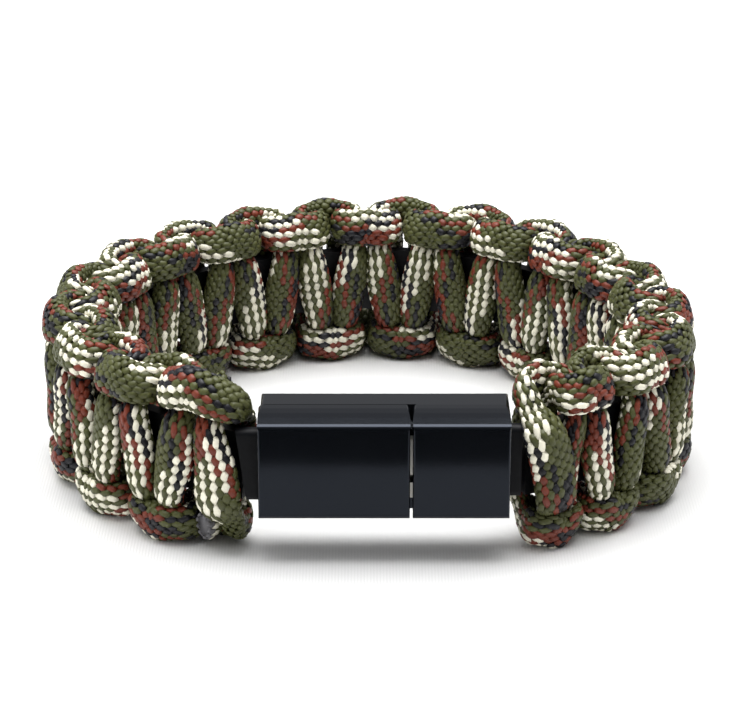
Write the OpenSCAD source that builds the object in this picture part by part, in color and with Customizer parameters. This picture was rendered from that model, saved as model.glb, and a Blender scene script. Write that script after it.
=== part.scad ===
// Charging cable bracelet: a flat lead inside a knotted band of two cords, closed by its own two plugs.
// Millimetres. The bracelet lies on its edge: +Z up, the clasp faces -Y, the floor is z = 0.

/* [Weave] */
// Height of the knotted band, edge to edge
band_h = 20.4; // [20.2:0.2:22]
// Distance along the band from one bar to the next
pitch = 4.9; // [4.85:0.05:4.9]
// Pitches by which the knots crowd together towards the right plug
crowding = 1.4; // [1.4:0.05:1.6]
// Bar at which the crowding begins
crowd_from = 22; // [22:1:26]
// Distance from the left plug to the middle of the first bar
first_bar = 3.5; // [3.4:0.05:3.55]

/* [Lead] */
// Height of the flat lead
lead_h = 8; // [6:0.5:8]
// Thickness of the flat lead
lead_t = 1.5; // [1:0.1:1.6]

/* [Clasp] */
// Length of the closed clasp
clasp_len = 27.2; // [26.6:0.2:27.2]
// Height of both housings at their back
clasp_h = 12.4; // [11.8:0.2:12.6]
// Fall of the housings' top and underside towards their front
crown = 0.6; // [0:0.1:0.8]
// Thickness of the clasp, front to back
clasp_t = 8.2; // [7.6:0.2:8.4]
// Height of the clasp's middle above the floor
clasp_z = 11; // [10.8:0.1:11.2]
// Length of the small plug's housing
small_len = 16.4; // [14:0.2:18]
// Gap between the two housings
clasp_gap = 0.3; // [0.2:0.05:0.6]
// Thickness of the flat tongue behind the small plug's housing
tongue_t = 3.7; // [2.8:0.1:4]
// Distance from the clasp's left end to the tongue's tip
tongue_short = 0.2; // [0:0.1:0.6]
// Clearance between the tongue and the small plug's housing
tongue_fit = 0.1; // [0.05:0.05:0.3]
// Radius of the housings' long edges
edge_r = 0.8; // [0.3:0.1:1.1]
// Radius of the housings' corners seen from the front
corner_r = 0.5; // [0.2:0.1:1]
// Radius of the housings' upright edges
upright_r = 0.3; // [0.1:0.1:0.8]

/* [Small plug] */
// Height of the small plug's metal shell
shell_h = 6.85; // [6.7:0.05:7]
// Thickness of the small plug's metal shell
shell_t = 1.8; // [1.7:0.05:1.9]
// Length of the shell inside its own housing
shell_root = 2; // [1:0.5:4]
// Length of the shell that stands out of its housing
shell_out = 4.8; // [4:0.2:5.4]
// Wall of the shell
shell_wall = 0.3; // [0.2:0.05:0.4]
// Clearance round the shell
shell_fit = 0.15; // [0.1:0.05:0.25]

/* [Necks] */
// Height of both necks
neck_h = 8.4; // [7:0.2:8.6]
// Thickness of both necks
neck_t = 1.6; // [1.2:0.1:1.8]
// Length of both necks along their undersides
neck_len = 1.3; // [1:0.1:1.3]
// Length of the left neck along its top, where it follows the first bar's slant
neck_top_len = 2.4; // [1.3:0.1:2.6]
// Distance from the clasp's front to the left neck's front
left_recess = 1.9; // [1.6:0.1:2.1]
// Distance from the clasp's front to the right neck's front
right_recess = 3; // [2.8:0.1:3.6]

/* [Hidden] */

// Middle of the whole bracelet seen from above, with the clasp's middle at 0, 0
centre = [-1.7, 30.7];
edge = band_h / 2;
last_bar = 36;
join_bar = 18;
// Rows of the cord in one pitch, and the row at the middle of a bar
rows_per_bar = 12;
mid_row = 6;
// Share of a row's step left open where the two halves of a cord meet
join_gap = 0.03;
sides = 8;
// Room between the plug shell and its seat
seat_gap = 0.1;
// Length and height of the slot in the shell's front wall, and its height above the shell's middle
slot = [1.2, 0.9];
slot_drop = -1.2;
// Gap between a neck and its housing
neck_gap = 0.05;
// Place of the clasp's front, measured as the guide points are
front = -3.5;
// Distances from the left and the right neck to the slanting ends of the lead
lead_clear = [0.45, 0.75];
$fn = 32;

// Guide points of the band's middle line, from the left plug round the back to the right plug
// columns: x, y
GUIDE = [
    [  5.5, -3.0],
    [-15.0, -0.5],
    [-27.0,  7.5],
    [-33.5, 16.0],
    [-36.5, 27.0],
    [-34.0, 40.5],
    [-23.5, 54.5],
    [ -0.5, 64.0],
    [ 21.0, 55.0],
    [ 34.0, 31.0],
    [ 31.5, 12.0],
    [ 12.5, -1.0],
    [ -1.5,  0.5]
];

// A quarter of a knot of the outer cord: from mid bar, over the edge, to the middle of the bump behind
// columns: along (pitches), out, up, lean of the section (degrees), half its depth, half its width
KNOT = [
    [ 0.00,  2.55, 0,            0, 1.40, 2.00],
    [ 0.12,  2.60, edge - 6.2,   5, 1.38, 1.58],
    [ 0.19,  1.25, edge - 4.2,  35, 0.88, 1.10],
    [ 0.22, -0.15, edge - 2.95, 90, 1.92, 0.94],
    [ 0.19, -1.70, edge - 2.5,  66, 2.10, 1.10],
    [-0.13, -2.70, edge - 2.35, 64, 2.20, 1.12],
    [-0.50, -2.70, edge - 2.27, 80, 2.30, 1.38]
];

// Bars that lie off the even spacing, beside the plugs
// columns: bar, moved along the band
SPACING = [
    [ 0,  0.4],
    [ 1,  0.6],
    [ 2,  0.3],
    [ 4,  0.0],
    [31,  0.0],
    [33,  0.7],
    [34,  0.9],
    [35,  0.4],
    [36, -0.1]
];

// Rows that depart from the even knot, beside the plugs. Row 6 of a bar is its middle.
// columns: face, bar, row, moved along, out and up, times depth, times width
UNEVEN = [
    [ 1,  0,  6,  0.00,  0.0,  0.0, 0.92, 1.15],
    [ 1,  0,  7,  0.30,  0.0,  0.0, 0.85, 1.60],
    [ 1,  0,  8,  0.20,  0.0,  0.0, 1.00, 1.60],
    [ 1,  0,  9,  0.20,  0.0,  0.0, 0.80, 1.35],
    [ 1,  0, 10,  0.00,  0.0,  0.0, 1.00, 0.95],
    [ 1,  1,  6, -0.20,  0.0,  0.0, 1.00, 1.08],
    [ 1,  1,  7, -0.20,  0.0,  0.0, 1.00, 1.15],
    [ 1,  1,  8, -0.10,  0.0,  0.0, 1.00, 1.15],
    [-1,  0,  2,  0.40,  0.0,  0.0, 1.00, 1.00],
    [-1,  0,  3,  0.60,  0.0,  0.0, 1.00, 0.90],
    [-1,  0,  4,  0.50,  0.0,  0.0, 1.00, 0.90],
    [-1,  0,  8, -0.40,  0.0, -0.8, 1.00, 1.00],
    [-1,  0,  9, -0.80,  0.0, -0.7, 0.65, 1.20],
    [-1,  0, 10, -0.90,  0.0, -0.2, 0.90, 1.20],
    [-1,  0, 11, -0.40,  0.0,  0.7, 1.00, 1.10],
    [-1,  1,  0,  0.00, -0.2,  1.0, 1.00, 1.10],
    [-1,  1,  1,  0.00, -0.1,  0.8, 1.00, 1.10],
    [-1,  1,  2,  0.00,  0.0,  0.4, 1.00, 1.00],
    [-1, 34,  8,  0.00,  0.0, -0.6, 1.00, 1.00],
    [-1, 34,  9,  0.00,  0.0, -0.3, 0.65, 1.10],
    [-1, 34, 10,  0.00,  0.0,  0.0, 0.85, 1.00],
    [-1, 35,  1,  0.00,  0.0, -0.1, 1.00, 1.00],
    [-1, 35,  2,  0.00,  0.0, -0.2, 1.00, 1.00],
    [ 1, 34,  5,  0.40,  0.0,  0.0, 1.00, 1.00],
    [ 1, 34,  6,  0.60,  0.0,  0.0, 1.00, 1.10],
    [ 1, 34,  7,  0.40,  0.0,  0.0, 1.00, 1.10],
    [ 1, 35,  4,  0.00, -0.3,  0.0, 1.00, 0.90],
    [ 1, 35,  5,  0.10, -0.8,  0.0, 0.68, 0.90],
    [ 1, 35,  6,  0.20, -0.7,  0.0, 0.70, 0.80],
    [ 1, 35,  7,  0.10, -0.5,  0.0, 0.90, 0.90],
    [ 1, 36,  3,  0.20,  0.0,  0.0, 1.00, 1.50],
    [ 1, 36,  4,  0.20,  0.1,  0.0, 1.00, 1.70],
    [ 1, 36,  5,  0.00,  0.4,  0.0, 0.80, 1.90],
    [ 1, 36,  6, -0.50,  0.7,  0.0, 0.72, 1.65],
    [ 1, 36,  7, -0.50,  0.8,  0.0, 0.65, 1.95],
    [ 1, 36,  8, -0.50,  0.4,  0.0, 0.90, 1.45],
    [ 1, 36,  9, -0.30,  0.0,  0.0, 1.00, 1.00]
];

// Sealed end of the inner cord, which shows at the band's lower edge beside the first bar
// columns: as KNOT
CORD_END = [0.32, -1.70, edge - 2.6, 80, 1.50, 0.85];

function unit(v) = v / norm(v);

// One stretch of the smooth curve that four guide points pull
function stretch(i, t) =
    (pow(1 - t, 3) * GUIDE[i] + (3 * pow(t, 3) - 6 * pow(t, 2) + 4) * GUIDE[i + 1]
     + (3 * (t + pow(t, 2) - pow(t, 3)) + 1) * GUIDE[i + 2] + pow(t, 3) * GUIDE[i + 3]) / 6;

stretches = len(GUIDE) - 3;
MIDDLE = [for (t = [0 : 0.05 : stretches]) let (i = min(floor(t), stretches - 1)) stretch(i, t - i)];
REACH = [for (i = 0, s = 0; i < len(MIDDLE);
              i = i + 1, s = i < len(MIDDLE) ? s + norm(MIDDLE[i] - MIDDLE[i - 1]) : s) s];
band_len = REACH[len(REACH) - 1];
X_AT = [for (i = [0 : len(MIDDLE) - 1]) [REACH[i], MIDDLE[i].x]];
Y_AT = [for (i = [0 : len(MIDDLE) - 1]) [REACH[i], MIDDLE[i].y]];

// Point, heading and outward direction of the middle line at a distance along it
function middle(u) = [lookup(u, X_AT), lookup(u, Y_AT)];
function heading(u) = unit(middle(u + 0.5) - middle(u - 0.5));
function outward(u) = let (h = heading(u)) [-h.y, h.x];

// A point of the band: distance along it, outwards from the middle line, and above mid height
function in_band(u, out, up) = let (m = middle(u) + out * outward(u)) [m.x, m.y, edge + up];

// Place of a bar along the band, and how much its neighbours squeeze it
function crowd(k) = max(k - crowd_from, 0) / (last_bar - crowd_from);
function place(k) = first_bar + pitch * (k - crowding * pow(crowd(k), 2)) + lookup(k, SPACING);
function squeeze(k) = min(1, (place(k + 0.5) - place(k - 0.5)) / pitch);

// What departs from the even knot in row i of bar k
function uneven(face, k, i) =
    let (found = [for (c = UNEVEN) if (c[0] == face && c[1] == k && c[2] == i) c])
    len(found) > 0 ? found[0] : [face, k, i, 0, 0, 0, 1, 1];

// Row i of bar k of a cord. face: 1 the outer cord, -1 the inner. half: 1 above mid height, -1 below.
// columns: along, out, up, lean outwards, lean upwards, half depth, half width
function cord_row(r, k, i, face, half) =
    let (turn = (k % 2 == 0 ? 1 : -1) * half * face, at = k + turn * r[0], c = uneven(face, k, i))
    [place(at) + c[3], face * r[1] + c[4], half * r[2] + c[5], face * cos(r[3]), half * sin(r[3]),
     r[4] * c[6], r[5] * squeeze(at) * c[7]];

// One pitch of a cord: from the bump before bar k, down or up the bar, to just before the next bump
function pitch_rows(k, face) =
    let (half = (k % 2 == 0 ? 1 : -1) * face, n = len(KNOT) - 1)
    concat([for (i = [n : -1 : 1]) cord_row(KNOT[i], k, n - i, face, half)],
           [for (i = [0 : n - 1]) cord_row(KNOT[i], k, n + i, face, -half)]);

function cord_rows(face) = [for (k = [0 : last_bar]) each pitch_rows(k, face)];
OUTER = cord_rows(1);
INNER = cord_rows(-1);
join_row = rows_per_bar * join_bar + mid_row;

function rows(list, from, to) = [for (i = [from : to]) list[i]];
// The rows from the join on, with the first moved on a little so that the halves don't touch
function after_join(list, to) =
    concat([list[join_row] + join_gap * (list[join_row + 1] - list[join_row])], rows(list, join_row + 1, to));

// Triangles between rings of n points each, closed at both ends
function skin(rings, n) = concat(
    [for (i = [0 : rings - 2], j = [0 : n - 1])
        let (a = i * n + j, b = i * n + (j + 1) % n) each [[a, b, b + n], [a, b + n, a + n]]],
    [[for (j = [n - 1 : -1 : 0]) j], [for (j = [0 : n - 1]) (rings - 1) * n + j]]);

// A cord of oval section along its rows
module cord(list) {
    n = len(list);
    path = [for (r = list) in_band(r[0], r[1], r[2])];
    points = [for (i = [0 : n - 1])
        let (r = list[i], o = outward(r[0]), ahead = unit(path[min(i + 1, n - 1)] - path[max(i - 1, 0)]),
             lean = [o.x * r[3], o.y * r[3], r[4]], deep = unit(lean - (lean * ahead) * ahead),
             wide = cross(ahead, deep))
        for (a = [0 : 360 / sides : 359]) path[i] + deep * r[5] * cos(a) + wide * r[6] * sin(a)];
    polyhedron(points, [for (f = skin(n, sides)) [for (i = [len(f) - 1 : -1 : 0]) f[i]]]);
}

// Moves a piece from the clasp's own place to the bracelet's frame
module set_down() translate([-centre.x, -centre.y, 0]) children();

module outer_cord_left()
    color("darkolivegreen") set_down() cord(rows(OUTER, 2, join_row));

module outer_cord_right()
    color("olivedrab") set_down() cord(after_join(OUTER, len(OUTER) - 2));

module inner_cord_left()
    color("darkolivegreen") set_down()
        cord(concat([cord_row(CORD_END, 0, 2, -1, -1)], rows(INNER, 3, join_row)));

module inner_cord_right()
    color("olivedrab") set_down() cord(after_join(INNER, len(INNER) - 4));

// The lead: a flat strip along the middle line from neck to neck
module flat_lead() {
    steps = 56;
    start = neck_len + lead_clear[0];
    end = band_len - neck_len - lead_clear[1];
    places = [for (i = [0 : steps]) start + (end - start) * i / steps];
    corners = [[1, 1], [-1, 1], [-1, -1], [1, -1]];
    points = [for (u = places) for (c = corners) in_band(u, c.x * lead_t / 2, c.y * lead_h / 2)];
    color("black") set_down() polyhedron(points, [for (f = skin(len(places), 4)) f]);
}

module rounded_rect(size, r) {
    translate([r, 0]) square([size.x - 2 * r, size.y]);
    translate([0, r]) square([size.x, size.y - 2 * r]);
    for (x = [r, size.x - r], y = [r, size.y - r]) translate([x, y]) circle(r);
}

// Side view of a housing, front on the left: level at the back, falling away above and below to the front
module side_form(depth, height) {
    hull() {
        for (share = [0 : 0.25 : 1], way = [-1, 1])
            translate([edge_r + share * (small_t - edge_r),
                       height / 2 + way * (height / 2 - edge_r - crown * pow(1 - share, 2))]) circle(edge_r);
        for (z = [edge_r, height - edge_r]) translate([depth - edge_r, z]) circle(edge_r);
    }
}

// A box with rounded edges and a crowned top and underside, with one corner at the origin
module soft_block(size) {
    intersection() {
        rotate([90, 0, 90]) linear_extrude(size.x) side_form(size.y, size.z);
        translate([0, size.y, 0])
            rotate([90, 0, 0]) linear_extrude(size.y) rounded_rect([size.x, size.z], corner_r);
        linear_extrude(size.z) rounded_rect([size.x, size.y], upright_r);
    }
}

// Places of the clasp: its ends, its front and underside, and the joint between the housings
left_end = -clasp_len / 2;
right_end = clasp_len / 2;
underside = clasp_z - clasp_h / 2;
small_end = left_end + small_len;
wide_start = small_end + clasp_gap;
small_t = clasp_t - tongue_t - tongue_fit;
shell_y = front + small_t / 2;
tongue_y = front + clasp_t - tongue_t;
tongue_start = left_end + tongue_short;

// The clasp's outer form between two places along it
module clasp_form(from, to) translate([from, front, underside]) soft_block([to - from, clasp_t, clasp_h]);

// All of the clasp that is behind a place
module behind(y) translate([left_end - 1, y, underside - 1]) cube([clasp_len + 2, clasp_t, clasp_h + 2]);

module small_plug_housing() {
    color([0.09, 0.09, 0.10]) set_down() difference() {
        clasp_form(left_end, small_end);
        behind(tongue_y - tongue_fit);
        translate([small_end - shell_root, shell_y, clasp_z]) shell_solid(shell_root + 1, seat_gap);
    }
}

module wide_plug_housing() {
    color([0.10, 0.10, 0.11]) set_down() difference() {
        union() {
            clasp_form(wide_start, right_end);
            intersection() {
                clasp_form(tongue_start, right_end);
                behind(tongue_y);
            }
        }
        translate([wide_start - 1, shell_y, clasp_z]) shell_solid(shell_out + 1, shell_fit);
    }
}

// Outline of the small plug's shell, swelled by a clearance and run along +X: square above, bevelled below
module shell_solid(length, swell) {
    h = shell_h / 2 + swell;
    t = shell_t / 2 + swell;
    bevel = 0.7;
    rotate([90, 0, 90]) linear_extrude(length)
        polygon([[-t, -h], [t - bevel, -h], [t, bevel - h], [t, h - bevel], [t - bevel, h], [-t, h]]);
}

module small_plug_shell() {
    root = small_end - shell_root + seat_gap;
    color("silver") set_down() translate([root, shell_y, clasp_z]) difference() {
        shell_solid(shell_root + shell_out - 2 * seat_gap, 0);
        translate([shell_root, 0, 0]) shell_solid(shell_out, -shell_wall);
        translate([shell_root - slot.x / 2, -shell_t, slot_drop - slot.y / 2])
            cube([slot.x, shell_t, slot.y]);
    }
}

// A flat neck that leaves the clasp at the origin along -X, longer along its top than along its underside
module neck(top_len) {
    r = neck_t / 2 - 0.1;
    intersection() {
        translate([-top_len, 0, -neck_h / 2])
            rotate([90, 0, 90]) linear_extrude(top_len) rounded_rect([neck_t, neck_h], r);
        translate([0, neck_t, 0]) rotate([90, 0, 0]) linear_extrude(neck_t)
            polygon([[0, -neck_h / 2], [0, neck_h / 2], [-top_len, neck_h / 2], [-neck_len, -neck_h / 2]]);
    }
}

module left_neck()
    color([0.08, 0.08, 0.09]) set_down() translate([left_end - neck_gap, front + left_recess, clasp_z])
        neck(neck_top_len);

module right_neck()
    color([0.08, 0.08, 0.09]) set_down() translate([right_end + neck_gap, front + right_recess, clasp_z])
        mirror([1, 0, 0]) neck(neck_len);

outer_cord_left();
outer_cord_right();
inner_cord_left();
inner_cord_right();
flat_lead();
left_neck();
right_neck();
small_plug_housing();
small_plug_shell();
wide_plug_housing();
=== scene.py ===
"""The looks of a charging cable bracelet: woven nylon cords, a moulded clasp, and the studio it stands in.

The band's tables hold millimetres, in a frame whose origin is by the clasp. in_band() takes them to the
bracelet's own frame, in metres, which is that of all else here. The studio's tables hold metres.
"""
import math

import bmesh
import bpy
import numpy as np
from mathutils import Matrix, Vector


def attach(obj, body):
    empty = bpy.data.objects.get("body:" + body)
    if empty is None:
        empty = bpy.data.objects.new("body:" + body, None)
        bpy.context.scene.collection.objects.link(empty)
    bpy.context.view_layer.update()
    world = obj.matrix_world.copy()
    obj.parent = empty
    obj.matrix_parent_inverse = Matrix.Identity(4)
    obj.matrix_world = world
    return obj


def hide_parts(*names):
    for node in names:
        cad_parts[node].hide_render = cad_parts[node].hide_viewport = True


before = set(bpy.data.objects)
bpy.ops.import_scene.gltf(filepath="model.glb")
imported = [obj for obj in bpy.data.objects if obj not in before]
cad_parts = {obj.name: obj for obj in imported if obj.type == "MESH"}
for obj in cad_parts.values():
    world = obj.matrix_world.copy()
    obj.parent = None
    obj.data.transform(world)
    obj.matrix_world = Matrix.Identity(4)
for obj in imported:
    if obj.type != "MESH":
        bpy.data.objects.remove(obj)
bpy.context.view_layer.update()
scene = bpy.context.scene
MM = 0.001

# Camera: place and focal length in millimetres, degrees that it looks down
CAMERA_AT = (-0.3, -286.8, 124.2)
CAMERA_DOWN = 21.69
LENS = 126.8

# The band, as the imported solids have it: its height, the bars' spacing and where the knots crowd together
BAND_H = 20.4
EDGE = BAND_H / 2
PITCH = 4.9
CROWDING = 1.4
CROWD_FROM = 22
FIRST_BAR = 3.5
LAST_BAR = 36
JOIN_BAR = 18
# The bracelet's middle
CENTRE = (-1.7, 30.7)

# Guide points of the band's middle line: x, y
GUIDE = [
    (5.5, -3.0), (-15.0, -0.5), (-27.0, 7.5), (-33.5, 16.0), (-36.5, 27.0), (-34.0, 40.5), (-23.5, 54.5),
    (-0.5, 64.0), (21.0, 55.0), (34.0, 31.0), (31.5, 12.0), (12.5, -1.0), (-1.5, 0.5),
]

# A quarter of a knot: along (pitches), out, up, lean (degrees), half depth, half width
KNOT = [
    (0.00, 2.55, 0.00, 0, 1.40, 2.00),
    (0.12, 2.60, EDGE - 6.2, 5, 1.38, 1.58),
    (0.19, 1.25, EDGE - 4.2, 35, 0.88, 1.10),
    (0.22, -0.15, EDGE - 2.95, 90, 1.92, 0.94),
    (0.19, -1.70, EDGE - 2.5, 66, 2.10, 1.10),
    (-0.13, -2.70, EDGE - 2.35, 64, 2.20, 1.12),
    (-0.50, -2.70, EDGE - 2.27, 80, 2.30, 1.38),
]
# The row in which the inner cord's melted end lies
CORD_END = (0.32, -1.70, EDGE - 2.6, 80, 1.50, 0.85)

# Bars that lie off the even spacing, beside the plugs: bar, moved along the band
SPACING = [(0, 0.4), (1, 0.6), (2, 0.3), (4, 0.0), (31, 0.0), (33, 0.7), (34, 0.9), (35, 0.4), (36, -0.1)]

# Rows that depart from the even knot: face, bar, row, moved along, out and up, times depth, times width
UNEVEN = [
    (1, 0, 6, 0.00, 0.0, 0.0, 0.92, 1.15),
    (1, 0, 7, 0.30, 0.0, 0.0, 0.85, 1.60),
    (1, 0, 8, 0.20, 0.0, 0.0, 1.00, 1.60),
    (1, 0, 9, 0.20, 0.0, 0.0, 0.80, 1.35),
    (1, 0, 10, 0.00, 0.0, 0.0, 1.00, 0.95),
    (1, 1, 6, -0.20, 0.0, 0.0, 1.00, 1.08),
    (1, 1, 7, -0.20, 0.0, 0.0, 1.00, 1.15),
    (1, 1, 8, -0.10, 0.0, 0.0, 1.00, 1.15),
    (-1, 0, 2, 0.40, 0.0, 0.0, 1.00, 1.00),
    (-1, 0, 3, 0.60, 0.0, 0.0, 1.00, 0.90),
    (-1, 0, 4, 0.50, 0.0, 0.0, 1.00, 0.90),
    (-1, 0, 8, -0.40, 0.0, -0.8, 1.00, 1.00),
    (-1, 0, 9, -0.80, 0.0, -0.7, 0.65, 1.20),
    (-1, 0, 10, -0.90, 0.0, -0.2, 0.90, 1.20),
    (-1, 0, 11, -0.40, 0.0, 0.7, 1.00, 1.10),
    (-1, 1, 0, 0.00, -0.2, 1.0, 1.00, 1.10),
    (-1, 1, 1, 0.00, -0.1, 0.8, 1.00, 1.10),
    (-1, 1, 2, 0.00, 0.0, 0.4, 1.00, 1.00),
    (-1, 34, 8, 0.00, 0.0, -0.6, 1.00, 1.00),
    (-1, 34, 9, 0.00, 0.0, -0.3, 0.65, 1.10),
    (-1, 34, 10, 0.00, 0.0, 0.0, 0.85, 1.00),
    (-1, 35, 1, 0.00, 0.0, -0.1, 1.00, 1.00),
    (-1, 35, 2, 0.00, 0.0, -0.2, 1.00, 1.00),
    (1, 34, 5, 0.40, 0.0, 0.0, 1.00, 1.00),
    (1, 34, 6, 0.60, 0.0, 0.0, 1.00, 1.10),
    (1, 34, 7, 0.40, 0.0, 0.0, 1.00, 1.10),
    (1, 35, 4, 0.00, -0.3, 0.0, 1.00, 0.90),
    (1, 35, 5, 0.10, -0.8, 0.0, 0.68, 0.90),
    (1, 35, 6, 0.20, -0.7, 0.0, 0.70, 0.80),
    (1, 35, 7, 0.10, -0.5, 0.0, 0.90, 0.90),
    (1, 36, 3, 0.20, 0.0, 0.0, 1.00, 1.50),
    (1, 36, 4, 0.20, 0.1, 0.0, 1.00, 1.70),
    (1, 36, 5, 0.00, 0.4, 0.0, 0.80, 1.90),
    (1, 36, 6, -0.50, 0.7, 0.0, 0.72, 1.65),
    (1, 36, 7, -0.50, 0.8, 0.0, 0.65, 1.95),
    (1, 36, 8, -0.50, 0.4, 0.0, 0.90, 1.45),
    (1, 36, 9, -0.30, 0.0, 0.0, 1.00, 1.00),
]

# The sheath: yarns round the cord, and one float's length along it at two heights off the band's middle
COLUMNS = 18
CELLS = [(4.5, 1.25), (7.5, 1.0)]
# Steps from row to row of a route, and round an oval
SMOOTHING = 10
OVAL_STEPS = 96
# How far a float leans towards the next column, and its size against its cell
SLANT = 0.3
FLOAT_LENGTH = 1.06
FLOAT_WIDTH = 1.5
FLOAT_HEIGHT = 0.17

# The yarns in the order in which they pass one point, for each way round: o olive, c cream, r rust,
# n near-black. m is nylon melted grey at the inner cord's end.
RIGHT_YARNS = "cccccccoooooonnrrr"
LEFT_YARNS = "ooooonnnrrrooooooo"
YARN_COLOURS = {"o": "494C26", "c": "F0ECD8", "r": "702E1B", "n": "0E0E15", "m": "6E6D70"}
MELTED_YARN = list(YARN_COLOURS).index("m")
# The tube under the floats shows in the gaps between them, coloured as the last yarn: its near-black is
# painted shade between the floats
GAP_SHADE_YARN = len(YARN_COLOURS)
PAINTED_GAP_SHADE = "0E0F0A"
# Row of the inner cord up to which its end is melted
MELTED_TO = 2.4

# How far the yarns have run on at the strands in front: face, bar, shift of each way round.
# Face 1 is the bar of the outer cord, face -1 the bump of the inner cord after that bar.
SHIFTS = [
    (1, 0, 12, 4),
    (1, 1, 10, 8),
    (1, 2, 16, 8),
    (1, 3, 15, 8),
    (1, 33, 12, 6),
    (1, 34, 16, 6),
    (1, 36, 14, 10),
    (-1, 0, 9, 3),
    (-1, 1, 8, 10),
    (-1, 2, 7, 4),
    (-1, 3, 1, 4),
    (-1, 4, 5, 4),
    (-1, 32, 14, 16),
    (-1, 33, 11, 2),
    (-1, 34, 15, 2),
    (-1, 35, 16, 4),
]

# Sizes of the finishes' patterns, in millimetres
JACKET_GRAIN = 0.4
ABS_WAVE = 8.33
ABS_GRAIN = 0.286
ROLLING_LINE = (5.0, 0.167, 0.167)
CLOTH_RIB = 0.349
# Streaks along and across a float, which is about 0.9 mm wide. Real filaments are too fine to show.
STREAKS = (1.5, 9, 1)

# Lights: name, place, width, depth, watts, mirrored in gloss
LIGHTS = [
    ("key_light", (0.0, 0.1, 1.0), 1.0, 0.88, 17.0, True),
    ("ceiling_light", (0.0, 0.3, 1.1), 3.0, 2.6, 27.5, False),
    ("left_light", (-1.0, -0.25, 0.35), 0.6, 0.6, 4.0, False),
    ("front_light", (0.35, -1.0, 0.05), 0.3, 0.3, 2.2, False),
]
# Light from all round, in the shade and as gloss mirrors it
AIR = 0.06
AIR_IN_GLOSS = 0.43

# The floor, and sheets that only gloss sees, as painted dark reflections and a painted floor shadow: name,
# half width, near edge and far edge (y, z), colour
FLOOR = ("floor", 1.3, (-1.1, 0.0), (1.4, 0.0))
GLOSS_ONLY_SHADES = [
    ("flag_in_front", 0.4, (-0.5, 0.4), (-0.5, 0.0), "black"),
    ("flag_below", 0.4, (-0.5, 0.0005), (-0.0598, 0.0005), "black"),
    ("card_below", 0.4, (-0.0598, 0.0005), (-0.037, 0.0005), "grey"),
]
# Black sheets paint dark reflections into the clasp; the grey sheet paints the shadow of the floor under it,
# as the gloss mirrors it
GLOSS_ONLY_SHADE_COLOURS = {"black": "050505", "grey": "A4A4A4"}


def linear(colour):
    """An sRGB hex colour as the linear values that shaders take."""
    parts = [int(colour[i:i + 2], 16) / 255 for i in (0, 2, 4)]
    return tuple(p / 12.92 if p <= 0.04045 else ((p + 0.055) / 1.055) ** 2.4 for p in parts) + (1.0,)


def add(tree, kind, settings=None, inputs=None):
    """Adds a node, sets its properties, and gives each input its value or its link."""
    node = tree.nodes.new(kind)
    for name, value in (settings or {}).items():
        setattr(node, name, value)
    for name, value in (inputs or {}).items():
        if isinstance(value, bpy.types.NodeSocket):
            tree.links.new(value, node.inputs[name])
        else:
            node.inputs[name].default_value = value
    return node


def new_material(name):
    """An empty material with a Principled shader wired to its output, and the two it is built from."""
    material = bpy.data.materials.new(name)
    material.use_nodes = True
    tree = material.node_tree
    tree.nodes.clear()
    shader = add(tree, "ShaderNodeBsdfPrincipled")
    add(tree, "ShaderNodeOutputMaterial", inputs={"Surface": shader.outputs["BSDF"]})
    return material, tree, shader


def set_values(shader, **values):
    """Uniform values, set on the shader's own sockets. Underscores stand for spaces."""
    for name, value in values.items():
        shader.inputs[name.replace("_", " ")].default_value = value


# Materials


def per_metre(millimetres):
    """The scale at which a texture's pattern has this size."""
    return 1 / (millimetres * MM)


def woven_nylon():
    """Braided nylon sheath: matt, slightly silky yarns of four colours, each a bundle of fine filaments."""
    material, tree, shader = new_material("woven_nylon")
    yarn = add(tree, "ShaderNodeAttribute", {"attribute_name": "yarn"})
    steps = GAP_SHADE_YARN + 0.5
    share = add(tree, "ShaderNodeMath", {"operation": "DIVIDE"}, {0: yarn.outputs["Fac"], 1: steps})
    ramp = add(tree, "ShaderNodeValToRGB", inputs={"Fac": share.outputs[0]})
    ramp.color_ramp.interpolation = "CONSTANT"
    # The last colour is painted shade, for the gaps between floats
    colours = list(YARN_COLOURS.values()) + [PAINTED_GAP_SHADE]
    while len(ramp.color_ramp.elements) < len(colours):
        ramp.color_ramp.elements.new(0.5)
    for i, (element, colour) in enumerate(zip(ramp.color_ramp.elements, colours)):
        element.position = max(i - 0.5, 0) / steps
        element.color = linear(colour)
    tint = add(tree, "ShaderNodeAttribute", {"attribute_name": "tint"})
    filaments = add(tree, "ShaderNodeAttribute", {"attribute_name": "float_uv"})
    stretched = add(tree, "ShaderNodeMapping",
                    inputs={"Vector": filaments.outputs["Vector"], "Scale": STREAKS})
    streaks = add(tree, "ShaderNodeTexNoise",
                  inputs={"Vector": stretched.outputs["Vector"], "Scale": 1, "Detail": 3, "Roughness": 0.6})
    streak_tone = add(tree, "ShaderNodeMapRange",
                      inputs={"Value": streaks.outputs["Fac"], "From Min": 0.3, "From Max": 0.7,
                              "To Min": 0.88, "To Max": 1.1})
    tone = add(tree, "ShaderNodeMath", {"operation": "MULTIPLY"},
               {0: streak_tone.outputs["Result"], 1: tint.outputs["Fac"]})
    colour = add(tree, "ShaderNodeVectorMath", {"operation": "SCALE"},
                 {"Vector": ramp.outputs["Color"], "Scale": tone.outputs[0]})
    tree.links.new(colour.outputs["Vector"], shader.inputs["Base Color"])
    bump = add(tree, "ShaderNodeBump",
               inputs={"Height": streaks.outputs["Fac"], "Distance": 0.05 * MM, "Strength": 0.5})
    tree.links.new(bump.outputs["Normal"], shader.inputs["Normal"])
    set_values(shader, Roughness=0.5, IOR=1.53)
    return material


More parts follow.
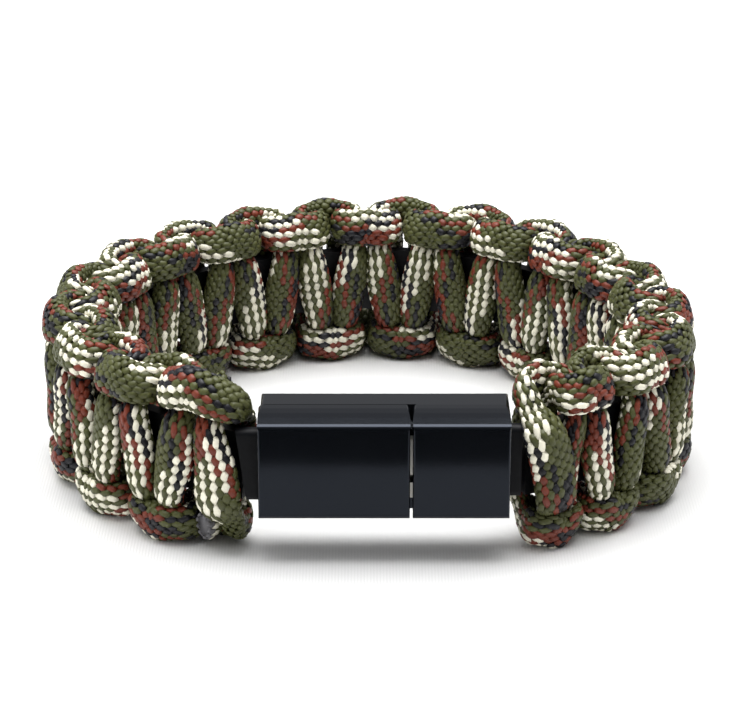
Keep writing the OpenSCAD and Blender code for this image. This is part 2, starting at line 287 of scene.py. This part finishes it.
def lead_jacket():
    """Soft PVC jacket of the lead and its necks: dull black with a faint haze."""
    material, tree, shader = new_material("pvc_jacket")
    spot = add(tree, "ShaderNodeTexCoord").outputs["Object"]
    grain = add(tree, "ShaderNodeTexNoise",
                inputs={"Vector": spot, "Scale": per_metre(JACKET_GRAIN), "Detail": 2})
    bump = add(tree, "ShaderNodeBump", inputs={"Height": grain.outputs["Fac"], "Distance": 0.02 * MM})
    tree.links.new(bump.outputs["Normal"], shader.inputs["Normal"])
    shade = add(tree, "ShaderNodeMapRange",
                inputs={"Value": grain.outputs["Fac"], "To Min": 0.45, "To Max": 0.6})
    tree.links.new(shade.outputs["Result"], shader.inputs["Roughness"])
    set_values(shader, Base_Color=linear("090A0E"), IOR=1.45, Specular_IOR_Level=0.35)
    return material


def moulded_abs():
    """Injection-moulded black ABS with a polished cavity: nearly glossy, with a trace of waviness."""
    material, tree, shader = new_material("moulded_abs")
    spot = add(tree, "ShaderNodeTexCoord").outputs["Object"]
    wave = add(tree, "ShaderNodeTexNoise",
               inputs={"Vector": spot, "Scale": per_metre(ABS_WAVE), "Detail": 1})
    grain = add(tree, "ShaderNodeTexNoise",
                inputs={"Vector": spot, "Scale": per_metre(ABS_GRAIN), "Detail": 2})
    height = add(tree, "ShaderNodeMath", {"operation": "MULTIPLY_ADD"},
                 {0: grain.outputs["Fac"], 1: 0.04, 2: wave.outputs["Fac"]})
    bump = add(tree, "ShaderNodeBump", inputs={"Height": height.outputs[0], "Distance": 0.03 * MM})
    tree.links.new(bump.outputs["Normal"], shader.inputs["Normal"])
    shade = add(tree, "ShaderNodeMapRange",
                inputs={"Value": wave.outputs["Fac"], "To Min": 0.09, "To Max": 0.14})
    tree.links.new(shade.outputs["Result"], shader.inputs["Roughness"])
    # The pale blue specular tint is painted light: it stands in for the cool colour of the surroundings that
    # the gloss mirrors
    set_values(shader, Base_Color=linear("090B0E"), IOR=1.45, Specular_Tint=linear("DDE9FF"))
    return material


def nickel_plate():
    """Nickel-plated pressed steel: bright, with fine rolling lines."""
    material, tree, shader = new_material("nickel_plate")
    spot = add(tree, "ShaderNodeTexCoord").outputs["Object"]
    lines = add(tree, "ShaderNodeMapping",
                inputs={"Vector": spot, "Scale": [per_metre(size) for size in ROLLING_LINE]})
    brush = add(tree, "ShaderNodeTexNoise",
                inputs={"Vector": lines.outputs["Vector"], "Scale": 1, "Detail": 2})
    shade = add(tree, "ShaderNodeMapRange",
                inputs={"Value": brush.outputs["Fac"], "To Min": 0.22, "To Max": 0.4})
    tree.links.new(shade.outputs["Result"], shader.inputs["Roughness"])
    set_values(shader, Base_Color=linear("C9C7C0"), Metallic=1.0)
    return material


def white_cloth():
    """Plain white cotton under the bracelet, with a faint rib."""
    material, tree, shader = new_material("white_cloth")
    spot = add(tree, "ShaderNodeTexCoord").outputs["Object"]
    # The wave texture has 20 radians to a unit
    scale = per_metre(CLOTH_RIB) * 2 * math.pi / 20
    ribs = add(tree, "ShaderNodeTexWave", {"wave_type": "BANDS", "bands_direction": "X"},
               {"Vector": spot, "Scale": scale, "Distortion": 1.0, "Detail": 2, "Detail Scale": 3})
    bump = add(tree, "ShaderNodeBump",
               inputs={"Height": ribs.outputs["Fac"], "Distance": 0.04 * MM, "Strength": 0.3})
    tree.links.new(bump.outputs["Normal"], shader.inputs["Normal"])
    set_values(shader, Base_Color=linear("DCDCDC"), Roughness=0.9)
    return material


# The band's route


def distances(points):
    """The distance reached at each point of a line."""
    return np.concatenate([[0], np.cumsum(np.linalg.norm(np.diff(points, axis=0), axis=1))])


def band_line():
    """Dense points of the band's middle line, and the distance reached at each."""
    stretches = len(GUIDE) - 3
    t = np.linspace(0, stretches, stretches * 100 + 1)
    i = np.minimum(t.astype(int), stretches - 1)
    f = (t - i)[:, None]
    g = np.array(GUIDE)
    points = ((1 - f) ** 3 * g[i] + (3 * f ** 3 - 6 * f ** 2 + 4) * g[i + 1]
              + (3 * (f + f ** 2 - f ** 3) + 1) * g[i + 2] + f ** 3 * g[i + 3]) / 6
    return points, distances(points)


MIDDLE, REACH = band_line()


def middle(u):
    """The middle line's points at each distance along it."""
    return np.stack([np.interp(u, REACH, MIDDLE[:, 0]), np.interp(u, REACH, MIDDLE[:, 1])], axis=1)


def outward(u):
    """The direction out of the band, away from the wrist, at each distance along it."""
    ahead = middle(u + 0.5) - middle(u - 0.5)
    ahead /= np.linalg.norm(ahead, axis=1, keepdims=True)
    return np.stack([-ahead[:, 1], ahead[:, 0]], axis=1)


def in_band(u, out, up):
    """Points of the band in the bracelet's frame, in metres."""
    flat = middle(u) + out[:, None] * outward(u) - np.array(CENTRE)
    return np.column_stack([flat, EDGE + up]) * MM


ODD_ROWS = {row[:3]: row[3:] for row in UNEVEN}
ROWS_PER_BAR = 2 * len(KNOT) - 2
# The row of its first knot at which each cord begins
FIRST_ROW = 2


def crowd(bar):
    """How far along the crowded stretch a bar lies, from 0 to 1."""
    return max(bar - CROWD_FROM, 0) / (LAST_BAR - CROWD_FROM)


def place(bar):
    """Where a bar, or a point between two bars, lies along the band."""
    bars, moved = zip(*SPACING)
    return FIRST_BAR + PITCH * (bar - CROWDING * crowd(bar) ** 2) + float(np.interp(bar, bars, moved))


def squeeze(bar):
    """How much narrower the crowding makes a strand."""
    return min(1.0, (place(bar + 0.5) - place(bar - 0.5)) / PITCH)


def cord_row(row, bar, number, face, half):
    """Along, out, up, lean outwards, lean upwards, half depth, half width, at one row of a knot."""
    along, out, up, lean, depth, width = row
    turn = (1 if bar % 2 == 0 else -1) * half * face
    at = bar + turn * along
    lean = math.radians(lean)
    on, outer, higher, deeper, wider = ODD_ROWS.get((face, bar, number), (0, 0, 0, 1, 1))
    return (place(at) + on, face * out + outer, half * up + higher,
            face * math.cos(lean), half * math.sin(lean), depth * deeper, width * squeeze(at) * wider)


def cord_rows(face):
    """All the rows of one cord, from the left plug round to the right one. face is 1 outside, -1 inside."""
    rows = []
    quarter = len(KNOT) - 1
    for bar in range(LAST_BAR + 1):
        half = (1 if bar % 2 == 0 else -1) * face
        rows += [cord_row(KNOT[i], bar, quarter - i, face, half) for i in range(quarter, 0, -1)]
        rows += [cord_row(KNOT[i], bar, quarter + i, face, -half) for i in range(quarter)]
    return rows


def smoothed(rows, steps):
    """A smooth curve through the rows, with this many steps from each row to the next."""
    rows = np.array(rows)
    p = np.vstack([2 * rows[0] - rows[1], rows, 2 * rows[-1] - rows[-2]])
    t = (np.arange(steps) / steps)[:, None]
    curve = [0.5 * (2 * b + (c - a) * t + (2 * a - 5 * b + 4 * c - d) * t ** 2
                    + (3 * b - 3 * c + d - a) * t ** 3)
             for a, b, c, d in zip(p[:-3], p[1:-2], p[2:-1], p[3:])]
    return np.vstack(curve + [rows[-1:]])


# The cords


def unit(v):
    """Vectors brought to length 1."""
    return v / np.linalg.norm(v, axis=-1, keepdims=True)


def carried_round(ahead, start):
    """A direction square to the route that never twists about it, at each ring."""
    kept = [unit(start - ahead[0] * (start @ ahead[0]))]
    for way in ahead[1:]:
        kept.append(unit(kept[-1] - way * (kept[-1] @ way)))
    return np.array(kept)


def rings_of(rows):
    """A cord's route, its table values and its row at each ring of the sheath, two rings to a float."""
    curve = smoothed(rows, SMOOTHING)
    path = in_band(curve[:, 0], curve[:, 1], curve[:, 2])
    reached = distances(path)
    heights, lengths = zip(*CELLS)
    cell = np.interp(abs(curve[1:, 2]), heights, lengths)
    cells = np.concatenate([[0], np.cumsum(np.diff(reached) / MM / cell)])
    rings = int(2 * cells[-1]) + 1
    at = np.interp(np.arange(rings) / 2, cells, reached)
    row = FIRST_ROW + np.arange(len(curve))[:, None] / SMOOTHING
    columns = np.hstack([path, curve, row]).T
    followed = np.column_stack([np.interp(at, reached, column) for column in columns])
    return followed[:, :3], followed[:, 3:-1], followed[:, -1]


def oval_axes(path, curve):
    """At each ring, the ways of the oval's depth and width, and how far they have turned about the cord."""
    ahead = unit(np.gradient(path, axis=0))
    lean = np.column_stack([outward(curve[:, 0]) * curve[:, 3:4], curve[:, 4]])
    deep = unit(lean - ahead * np.sum(lean * ahead, axis=1, keepdims=True))
    wide = np.cross(ahead, deep)
    kept = carried_round(ahead, deep[0])
    turned = np.unwrap(np.arctan2(np.sum(kept * wide, axis=1), np.sum(kept * deep, axis=1)))
    return deep, wide, turned


def column_angles(depth, width, turned):
    """The oval's angle at each column. The columns are evenly apart and don't turn with the oval."""
    angle = np.linspace(0, 2 * math.pi, OVAL_STEPS + 1)
    reached = distances(np.column_stack([depth * np.cos(angle), width * np.sin(angle)]))
    share = (np.arange(COLUMNS) / COLUMNS + turned / (2 * math.pi)) % 1
    return np.interp(share * reached[-1], reached, angle)[:, None]


def sheath_lattice(rows):
    """Points and outward ways on a cord's surface: a ring every half float, a point for every column."""
    path, curve, row = rings_of(rows)
    deep, wide, turned = oval_axes(path, curve)
    points, normals = [], []
    for i in range(len(path)):
        depth, width = curve[i, 5] * MM, curve[i, 6] * MM
        a = column_angles(depth, width, turned[i])
        points.append(path[i] + deep[i] * depth * np.cos(a) + wide[i] * width * np.sin(a))
        normals.append(unit(deep[i] * np.cos(a) / depth + wide[i] * np.sin(a) / width))
    return np.array(points), np.array(normals), path, row


def shifted(face, row):
    """How far the yarns of each way round have run on at each ring."""
    right, left = np.zeros(len(row), int), np.zeros(len(row), int)
    for strand, bar, right_shift, left_shift in SHIFTS:
        start = ROWS_PER_BAR * bar + (0 if face == 1 else ROWS_PER_BAR / 2)
        here = (strand == face) & (row >= start) & (row < start + ROWS_PER_BAR)
        right[here], left[here] = right_shift, left_shift
    return right[:, None], left[:, None]


def yarn_numbers(letters):
    """Yarn letters as the numbers that the sheath's points carry."""
    return np.array([list(YARN_COLOURS).index(letter) for letter in letters])


def float_attributes(points, row, face, ring_from, ring_to, rng):
    """For each point of the rings: whether a float lies there, its way, its size, its yarn and its tint."""
    rings = len(points)
    i, c = np.meshgrid(np.arange(rings), np.arange(COLUMNS), indexing="ij")
    along = points[np.minimum(i + 1, rings - 1), c] - points[np.maximum(i - 1, 0), c]
    around = points[i, (c + 1) % COLUMNS] - points[i, (c - 1) % COLUMNS]
    right = (c % 2 == 0)
    way = along + np.where(right, SLANT, -SLANT)[..., None] * around
    cell, pair = (i - i % 2) // 2, c // 2
    right_shift, left_shift = shifted(face, row)
    order = np.where(right, cell - 2 * pair + right_shift, cell + 2 * pair + left_shift) % COLUMNS
    yarn = np.where(right, yarn_numbers(RIGHT_YARNS)[order], yarn_numbers(LEFT_YARNS)[order])
    length, width = np.linalg.norm(way, axis=2), np.linalg.norm(around, axis=2) / 2
    if face == -1:
        yarn[row < MELTED_TO] = MELTED_YARN
    kept = slice(ring_from, ring_to + 1)
    return {
        "float_here": ((i + c) % 2 == 0)[kept],
        "float_way": way[kept],
        "float_size": np.stack([length, width, np.ones(i.shape)], axis=2)[kept],
        "yarn": yarn[kept],
        "tint": rng.uniform(0.86, 1.1, i.shape)[kept],
    }


def yarn_float():
    """One visible float of yarn: a plump bead along X, one unit long, wide and high, with its foot sunk."""
    tip_at, tip_half = 0.5, 0.26
    knee_at, foot_half, top_half = 0.19, 0.5, 0.37
    sunk = -0.8
    corners = []
    for way in (-1, 1):
        corners += [(way * tip_at, side * tip_half, 0) for side in (-1, 1)]
        corners += [(way * knee_at, side * foot_half, sunk) for side in (-1, 1)]
        corners += [(way * knee_at, side * top_half, 1) for side in (-1, 1)]
    faces = []
    for low in (0, 6):
        left, right, left_foot, right_foot, left_top, right_top = range(low, low + 6)
        faces += [(left, right, right_top, left_top), (left, left_foot, right_foot, right)]
        faces += [(left, left_top, left_foot), (right, right_foot, right_top)]
    faces += [(2, 4, 10, 8), (4, 5, 11, 10), (5, 3, 9, 11), (3, 2, 8, 9)]
    mesh = bpy.data.meshes.new("yarn_float")
    mesh.from_pydata(corners, [], faces)
    uv = mesh.uv_layers.new(name="float_uv")
    for loop in mesh.loops:
        x, y, _ = corners[loop.vertex_index]
        uv.data[loop.index].uv = (x + 0.5, y + 0.5)
    outside(mesh)
    return bpy.data.objects.new("yarn_float", mesh)


def outside(mesh):
    """Turns all faces of a closed mesh outwards."""
    work = bmesh.new()
    work.from_mesh(mesh)
    bmesh.ops.recalc_face_normals(work, faces=work.faces)
    work.to_mesh(mesh)
    work.free()


def weaving_tree():
    """Lays a float of yarn on each marked point of a tube and joins them to the tube's core, coloured
    near-black as painted shade in the gaps between floats.
    """
    tree = bpy.data.node_groups.new("weave_sheath", "GeometryNodeTree")
    sockets = {"Geometry": "Geometry", "Float": "Object", "Length": "Float", "Width": "Float",
               "Height": "Float", "Material": "Material"}
    for name, kind in sockets.items():
        tree.interface.new_socket(name, in_out="INPUT", socket_type="NodeSocket" + kind)
    tree.interface.new_socket("Geometry", in_out="OUTPUT", socket_type="NodeSocketGeometry")
    given = add(tree, "NodeGroupInput").outputs
    yarn = add(tree, "GeometryNodeObjectInfo", inputs={"Object": given["Float"], "As Instance": True})
    here = add(tree, "GeometryNodeInputNamedAttribute", {"data_type": "BOOLEAN"}, {"Name": "float_here"})
    vector = {"data_type": "FLOAT_VECTOR"}
    out = add(tree, "GeometryNodeInputNamedAttribute", vector, {"Name": "outward"})
    way = add(tree, "GeometryNodeInputNamedAttribute", vector, {"Name": "float_way"})
    size = add(tree, "GeometryNodeInputNamedAttribute", vector, {"Name": "float_size"})
    turn = add(tree, "FunctionNodeAxesToRotation", {"primary_axis": "Z", "secondary_axis": "X"},
               {"Primary Axis": out.outputs["Attribute"], "Secondary Axis": way.outputs["Attribute"]})
    shares = add(tree, "ShaderNodeCombineXYZ",
                 inputs={"X": given["Length"], "Y": given["Width"], "Z": given["Height"]})
    scaled = add(tree, "ShaderNodeVectorMath", {"operation": "MULTIPLY"},
                 {0: size.outputs["Attribute"], 1: shares.outputs[0]})
    floats = add(tree, "GeometryNodeInstanceOnPoints",
                 inputs={"Points": given["Geometry"], "Selection": here.outputs["Attribute"],
                         "Instance": yarn.outputs["Geometry"], "Rotation": turn.outputs["Rotation"],
                         "Scale": scaled.outputs["Vector"]})
    own = add(tree, "GeometryNodeInputNamedAttribute", {"data_type": "INT"}, {"Name": "yarn"})
    woven = add(tree, "ShaderNodeMath", {"operation": "LESS_THAN"},
                {0: own.outputs["Attribute"], 1: MELTED_YARN})
    # The core is given the painted shade of the gaps, except where the end is melted
    core = add(tree, "GeometryNodeStoreNamedAttribute", {"data_type": "INT", "domain": "POINT"},
               {"Geometry": given["Geometry"], "Selection": woven.outputs[0], "Name": "yarn",
                "Value": GAP_SHADE_YARN})
    both = add(tree, "GeometryNodeJoinGeometry")
    tree.links.new(core.outputs["Geometry"], both.inputs["Geometry"])
    tree.links.new(floats.outputs["Instances"], both.inputs["Geometry"])
    real = add(tree, "GeometryNodeRealizeInstances", inputs={"Geometry": both.outputs["Geometry"]})
    soft = add(tree, "GeometryNodeSetShadeSmooth", inputs={"Geometry": real.outputs["Geometry"]})
    dressed = add(tree, "GeometryNodeSetMaterial",
                  inputs={"Geometry": soft.outputs["Geometry"], "Material": given["Material"]})
    add(tree, "NodeGroupOutput", inputs={"Geometry": dressed.outputs["Geometry"]})
    return tree


def tube(name, points, path, attributes, normals):
    """A closed tube through every second column of points, with all the points and their attributes."""
    rings, columns = points.shape[:2]
    corners = np.vstack([points.reshape(-1, 3), path[:1], path[-1:]])
    sides = [(c, (c + 2) % columns) for c in range(0, columns, 2)]
    faces = [(i * columns + a, i * columns + b, (i + 1) * columns + b, (i + 1) * columns + a)
             for i in range(rings - 1) for a, b in sides]
    first, last, end = rings * columns, rings * columns + 1, (rings - 1) * columns
    faces += [(first, b, a) for a, b in sides] + [(last, end + a, end + b) for a, b in sides]
    mesh = bpy.data.meshes.new(name)
    mesh.from_pydata(corners.tolist(), [], faces)
    outside(mesh)
    kinds = {"float_here": ("BOOLEAN", bool), "yarn": ("INT", np.int32), "tint": ("FLOAT", np.float32)}
    # The middle of each end takes its neighbour's values, but carries no float
    for key, values in dict(attributes, outward=normals).items():
        kind, number = kinds.get(key, ("FLOAT_VECTOR", np.float32))
        flat = values.reshape(rings * columns, -1)
        ends = flat[[0, -1]] * (key != "float_here")
        layer = mesh.attributes.new(key, kind, "POINT")
        field = "vector" if kind == "FLOAT_VECTOR" else "value"
        layer.data.foreach_set(field, np.vstack([flat, ends]).astype(number).ravel())
    piece = bpy.data.objects.new(name, mesh)
    scene.collection.objects.link(piece)
    return piece


def grown(piece, tree, settings):
    """Runs a geometry tree on a piece and keeps the result as its plain mesh."""
    modifier = piece.modifiers.new(tree.name, "NODES")
    modifier.node_group = tree
    for item in tree.interface.items_tree:
        if item.in_out == "INPUT" and item.name in settings:
            modifier[item.identifier] = settings[item.name]
    bpy.context.view_layer.update()
    ready = piece.evaluated_get(bpy.context.evaluated_depsgraph_get())
    mesh = bpy.data.meshes.new_from_object(ready)
    piece.modifiers.remove(modifier)
    work = bmesh.new()
    work.from_mesh(mesh)
    bmesh.ops.delete(work, geom=[v for v in work.verts if not v.link_faces], context="VERTS")
    work.to_mesh(mesh)
    work.free()
    piece.data = mesh
    return piece


def cord_halves(names, face, rows, join_row, weave, grain, material, rng):
    """Both halves of a cord, woven as one and parted at the join."""
    points, normals, path, row = sheath_lattice(rows)
    join = round(len(points) * join_row / (len(rows) - 1) / 2) * 2
    for name, first, last in ((names[0], 0, join), (names[1], join, len(points) - 1)):
        kept = slice(first, last + 1)
        attributes = float_attributes(points, row, face, first, last, rng)
        if first:
            attributes["float_here"][0] = False
        piece = tube("cord_" + name, points[kept], path[kept], attributes, normals[kept])
        grown(piece, weave, {"Float": grain, "Length": FLOAT_LENGTH, "Width": FLOAT_WIDTH,
                             "Height": FLOAT_HEIGHT * MM, "Material": material})
        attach(piece, "root")
        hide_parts(name)


def cords():
    """Both cords, each in its two halves."""
    weave, grain, material = weaving_tree(), yarn_float(), woven_nylon()
    scene.collection.objects.link(grain)
    rng = np.random.default_rng(7)
    outer = cord_rows(1)
    inner = cord_rows(-1)
    join = ROWS_PER_BAR * JOIN_BAR + len(KNOT) - 1 - FIRST_ROW
    outer_names = ("outer_cord_left", "outer_cord_right")
    cord_halves(outer_names, 1, outer[FIRST_ROW:-1], join, weave, grain, material, rng)
    end = cord_row(CORD_END, 0, FIRST_ROW, -1, -1)
    inner_names = ("inner_cord_left", "inner_cord_right")
    cord_halves(inner_names, -1, [end] + inner[FIRST_ROW + 1:-3], join, weave, grain, material, rng)
    bpy.data.objects.remove(grain)


def dress(node, material):
    """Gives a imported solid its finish."""
    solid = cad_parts[node]
    solid.data.materials.clear()
    solid.data.materials.append(material)


def hard_parts():
    """The lead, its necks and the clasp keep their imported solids."""
    jacket, abs_plastic = lead_jacket(), moulded_abs()
    for node in ("flat_lead", "left_neck", "right_neck"):
        dress(node, jacket)
    for node in ("small_plug_housing", "wide_plug_housing"):
        dress(node, abs_plastic)
    dress("small_plug_shell", nickel_plate())


# The studio


def camera():
    """The camera at the photograph's angle."""
    data = bpy.data.cameras.new("camera")
    data.lens = LENS
    data.clip_start = 0.01
    seen = bpy.data.objects.new("camera", data)
    seen.location = Vector(CAMERA_AT) * MM
    seen.rotation_euler = (math.radians(90 - CAMERA_DOWN), 0, 0)
    scene.collection.objects.link(seen)
    scene.camera = seen


def softbox(name, at, wide, deep, power, mirrored):
    """A soft light that points at the bracelet's middle."""
    data = bpy.data.lights.new(name, "AREA")
    data.shape = "RECTANGLE"
    data.size = wide
    data.size_y = deep
    data.energy = power
    box = bpy.data.objects.new(name, data)
    box.location = at
    box.rotation_euler = (-Vector(at)).to_track_quat("-Z", "Y").to_euler()
    box.visible_glossy = mirrored
    scene.collection.objects.link(box)


def sheet_of(name, half, near, far, material):
    """A rectangle of the studio, from its near edge to its far edge. Each edge is given as y, z."""
    mesh = bpy.data.meshes.new(name)
    mesh.from_pydata([(-half, *near), (half, *near), (half, *far), (-half, *far)], [], [(0, 1, 2, 3)])
    mesh.materials.append(material)
    sheet = bpy.data.objects.new(name, mesh)
    scene.collection.objects.link(sheet)
    return sheet


def gloss_only_shade(name, colour):
    """A dull material for sheets that only gloss sees: its colour is a painted dark reflection or painted
    shade.
    """
    material, _, shader = new_material(name)
    set_values(shader, Base_Color=linear(colour), Roughness=1.0)
    return material


def light_all_round():
    """A pale world: weak as a light, stronger where gloss mirrors it, white behind the bracelet."""
    world = bpy.data.worlds.new("studio_air")
    world.use_nodes = True
    tree = world.node_tree
    tree.nodes.clear()
    ray = add(tree, "ShaderNodeLightPath")
    mirrored = add(tree, "ShaderNodeMath", {"operation": "MULTIPLY_ADD"},
                   {0: ray.outputs["Is Glossy Ray"], 1: AIR_IN_GLOSS - AIR, 2: AIR})
    level = add(tree, "ShaderNodeMath", {"operation": "MAXIMUM"},
                {0: ray.outputs["Is Camera Ray"], 1: mirrored.outputs[0]})
    air = add(tree, "ShaderNodeBackground", inputs={"Color": linear("FAFAFC"), "Strength": level.outputs[0]})
    add(tree, "ShaderNodeOutputWorld", inputs={"Surface": air.outputs["Background"]})
    scene.world = world


def studio():
    """The floor, the sheets of painted reflection and shade that only gloss sees, and the lights."""
    sheet_of(*FLOOR, white_cloth())
    shade_materials = {name: gloss_only_shade(name + "_painted_shade", colour) for name, colour in GLOSS_ONLY_SHADE_COLOURS.items()}
    for name, half, near, far, colour in GLOSS_ONLY_SHADES:
        gloss_only_sheet = sheet_of(name, half, near, far, shade_materials[colour])
        # Only gloss sees these sheets: they paint dark reflections and shade into the clasp's gloss
        gloss_only_sheet.visible_camera = gloss_only_sheet.visible_diffuse = gloss_only_sheet.visible_shadow = gloss_only_sheet.visible_transmission = False
    for light in LIGHTS:
        softbox(*light)
    light_all_round()
    scene.view_settings.view_transform = "Standard"


camera()
cords()
hard_parts()
studio()
